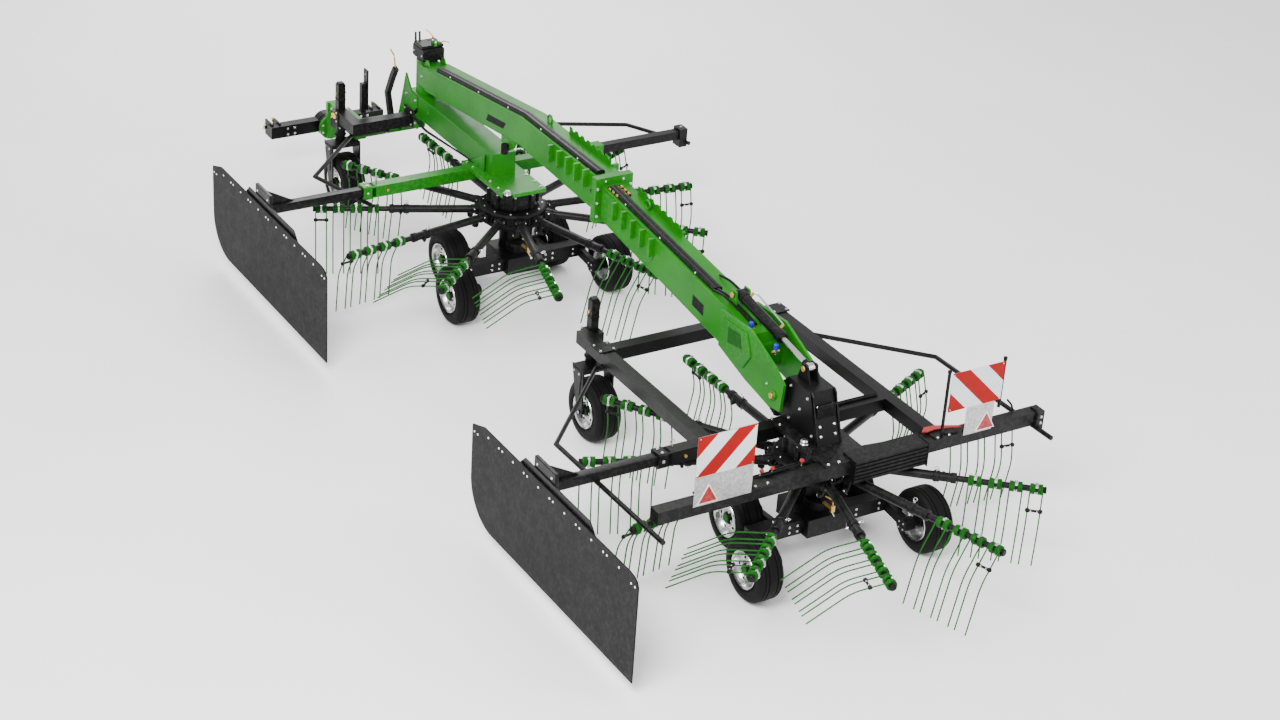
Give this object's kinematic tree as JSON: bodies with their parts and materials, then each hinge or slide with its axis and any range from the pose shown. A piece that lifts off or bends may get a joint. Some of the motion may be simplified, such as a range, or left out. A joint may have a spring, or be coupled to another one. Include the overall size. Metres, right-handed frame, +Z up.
{
  "type": "twin rotor hay rake",
  "caption": "Trailed hay rake with tined rotors in line under a carrying beam, castor wheels, wheeled rotor chassis, swath boards and a lower-link hitch.",
  "frame": {"origin": "under the middle of the whole rake, on the ground", "axes": "+Y the direction of travel, +X the right-hand side, +Z up"},
  "size_m": [3.701, 8.0512, 1.5219],
  "materials": {
    "board_black": "matt black board",
    "bright_steel": "bright rod",
    "paint_black": "satin black paint",
    "paint_green": "gloss green paint",
    "rubber": "black tyre rubber",
    "warning_red_white": "red and white reflective stripes"
  },
  "bodies": {
    "front_unit": {"front_carrier": "paint_green", "front_board_tube": "paint_green", "front_castor_tube": "paint_black", "front_guard_left": "paint_black", "front_guard_right": "paint_black", "front_running_gear": "paint_black"},
    "rear_unit": {"rear_headstock": "paint_black", "rear_frame": "paint_black", "rear_guard_left": "paint_black", "rear_guard_right": "paint_black", "rear_running_gear": "paint_black", "warning_board_left": "warning_red_white", "warning_board_right": "warning_red_white"},
    "beam": {"beam_front_length": "paint_green", "beam_rear_length": "paint_green", "hose_cover_front": "paint_black", "hose_cover_rear": "paint_black", "valve_block": "paint_black"},
    "lift_barrel": {"lift_cylinder_barrel": "paint_black"},
    "lift_rod": {"lift_cylinder_rod": "bright_steel"},
    "hitch_yoke": {"hitch_yoke": "paint_green"},
    "hitch_crossbar": {"hitch_crossbar": "paint_black"},
    "front_rotor": {"front_rotor_hub": "paint_black", "front_tine_arm_01": "paint_green", "front_tine_arm_02": "paint_green", "front_tine_arm_03": "paint_green", "front_tine_arm_04": "paint_green", "front_tine_arm_05": "paint_green", "front_tine_arm_06": "paint_green", "front_tine_arm_07": "paint_green", "front_tine_arm_08": "paint_green", "front_tine_arm_09": "paint_green", "front_tine_arm_10": "paint_green", "front_tine_arm_11": "paint_green"},
    "front_wheel_rear_left": {"front_wheel_rear_left": "rubber"},
    "front_wheel_rear_right": {"front_wheel_rear_right": "rubber"},
    "front_wheel_front_left": {"front_wheel_front_left": "rubber"},
    "front_wheel_front_right": {"front_wheel_front_right": "rubber"},
    "front_castor": {"front_castor_fork": "paint_black"},
    "front_castor_wheel": {"front_castor_wheel": "rubber"},
    "front_swath_board": {"front_swath_board": "board_black"},
    "rear_rotor": {"rear_rotor_hub": "paint_black", "rear_tine_arm_01": "paint_green", "rear_tine_arm_02": "paint_green", "rear_tine_arm_03": "paint_green", "rear_tine_arm_04": "paint_green", "rear_tine_arm_05": "paint_green", "rear_tine_arm_06": "paint_green", "rear_tine_arm_07": "paint_green", "rear_tine_arm_08": "paint_green", "rear_tine_arm_09": "paint_green", "rear_tine_arm_10": "paint_green", "rear_tine_arm_11": "paint_green"},
    "rear_wheel_rear_left": {"rear_wheel_rear_left": "rubber"},
    "rear_wheel_rear_right": {"rear_wheel_rear_right": "rubber"},
    "rear_wheel_front_left": {"rear_wheel_front_left": "rubber"},
    "rear_wheel_front_right": {"rear_wheel_front_right": "rubber"},
    "rear_castor": {"rear_castor_fork": "paint_black"},
    "rear_castor_wheel": {"rear_castor_wheel": "rubber"},
    "rear_swath_board": {"rear_swath_board": "board_black"}
  },
  "joints": [
    {"name": "front_rotor_spin", "type": "hinge", "parent": "front_unit", "child": "front_rotor", "pos_m": [0.03552, 1.53437, 0.62158], "axis": [0, 0, 1], "continuous": true},
    {"name": "front_wheel_rear_left_spin", "type": "hinge", "parent": "front_unit", "child": "front_wheel_rear_left", "pos_m": [-0.61948, 1.13437, 0.22158], "axis": [1, 0, 0], "continuous": true},
    {"name": "front_wheel_rear_right_spin", "type": "hinge", "parent": "front_unit", "child": "front_wheel_rear_right", "pos_m": [0.69052, 1.13437, 0.22158], "axis": [1, 0, 0], "continuous": true},
    {"name": "front_wheel_front_left_spin", "type": "hinge", "parent": "front_unit", "child": "front_wheel_front_left", "pos_m": [-0.39948, 1.69437, 0.22158], "axis": [1, 0, 0], "continuous": true},
    {"name": "front_wheel_front_right_spin", "type": "hinge", "parent": "front_unit", "child": "front_wheel_front_right", "pos_m": [0.47052, 1.69437, 0.22158], "axis": [1, 0, 0], "continuous": true},
    {"name": "front_castor_swivel", "type": "hinge", "parent": "front_unit", "child": "front_castor", "pos_m": [-0.54448, 3.36437, 0.55158], "axis": [0, 0, 1], "continuous": true},
    {"name": "front_castor_wheel_spin", "type": "hinge", "parent": "front_castor", "child": "front_castor_wheel", "pos_m": [-0.54448, 3.27437, 0.22658], "axis": [1, 0, 0], "continuous": true},
    {"name": "front_swath_board_slide", "type": "slide", "parent": "front_unit", "child": "front_swath_board", "axis": [1, 0, 0], "range_m": [-0.35, 0.2]},
    {"name": "rear_rotor_spin", "type": "hinge", "parent": "rear_unit", "child": "rear_rotor", "pos_m": [0.03552, -2.51563, 0.62158], "axis": [0, 0, 1], "continuous": true},
    {"name": "rear_wheel_rear_left_spin", "type": "hinge", "parent": "rear_unit", "child": "rear_wheel_rear_left", "pos_m": [-0.61948, -2.91563, 0.22158], "axis": [1, 0, 0], "continuous": true},
    {"name": "rear_wheel_rear_right_spin", "type": "hinge", "parent": "rear_unit", "child": "rear_wheel_rear_right", "pos_m": [0.69052, -2.91563, 0.22158], "axis": [1, 0, 0], "continuous": true},
    {"name": "rear_wheel_front_left_spin", "type": "hinge", "parent": "rear_unit", "child": "rear_wheel_front_left", "pos_m": [-0.39948, -2.35563, 0.22158], "axis": [1, 0, 0], "continuous": true},
    {"name": "rear_wheel_front_right_spin", "type": "hinge", "parent": "rear_unit", "child": "rear_wheel_front_right", "pos_m": [0.47052, -2.35563, 0.22158], "axis": [1, 0, 0], "continuous": true},
    {"name": "rear_castor_swivel", "type": "hinge", "parent": "rear_unit", "child": "rear_castor", "pos_m": [-0.54448, -0.68563, 0.55158], "axis": [0, 0, 1], "continuous": true},
    {"name": "rear_castor_wheel_spin", "type": "hinge", "parent": "rear_castor", "child": "rear_castor_wheel", "pos_m": [-0.54448, -0.77563, 0.22658], "axis": [1, 0, 0], "continuous": true},
    {"name": "rear_swath_board_slide", "type": "slide", "parent": "rear_unit", "child": "rear_swath_board", "axis": [1, 0, 0], "range_m": [-0.35, 0.2]},
    {"name": "hitch_steer", "type": "hinge", "parent": "front_unit", "child": "hitch_yoke", "pos_m": [-0.41448, 3.53437, 0.64158], "axis": [0, 0, 1], "range_deg": [-25, 25]},
    {"name": "hitch_roll", "type": "hinge", "parent": "hitch_yoke", "child": "hitch_crossbar", "pos_m": [-0.41448, 3.92437, 0.44658], "axis": [0, 1, 0], "range_deg": [-10, 10]},
    {"name": "beam_swing", "type": "hinge", "parent": "front_unit", "child": "beam", "pos_m": [0.03552, 3.00437, 1.06658], "axis": [0, 0, 1], "range_deg": [-12, 12]},
    {"name": "rear_lift", "type": "hinge", "parent": "beam", "child": "rear_unit", "pos_m": [0.03552, -2.23563, 0.98158], "axis": [1, 0, 0], "range_deg": [-6, 6]},
    {"name": "lift_barrel_turn", "type": "hinge", "parent": "beam", "child": "lift_barrel", "pos_m": [0.03552, -1.56563, 1.36658], "axis": [1, 0, 0], "range_deg": [-1.2, 1.2]},
    {"name": "lift_rod_out", "type": "slide", "parent": "lift_barrel", "child": "lift_rod", "axis": [0, -0.987, -0.1605], "range_m": [-0.032, 0.032]}
  ],
  "couplings": [
    {"joint": "lift_barrel_turn", "follows": "rear_lift", "ratio": 0.14007},
    {"joint": "lift_rod_out", "follows": "rear_lift", "m_per_rad": 0.27244}
  ]
}
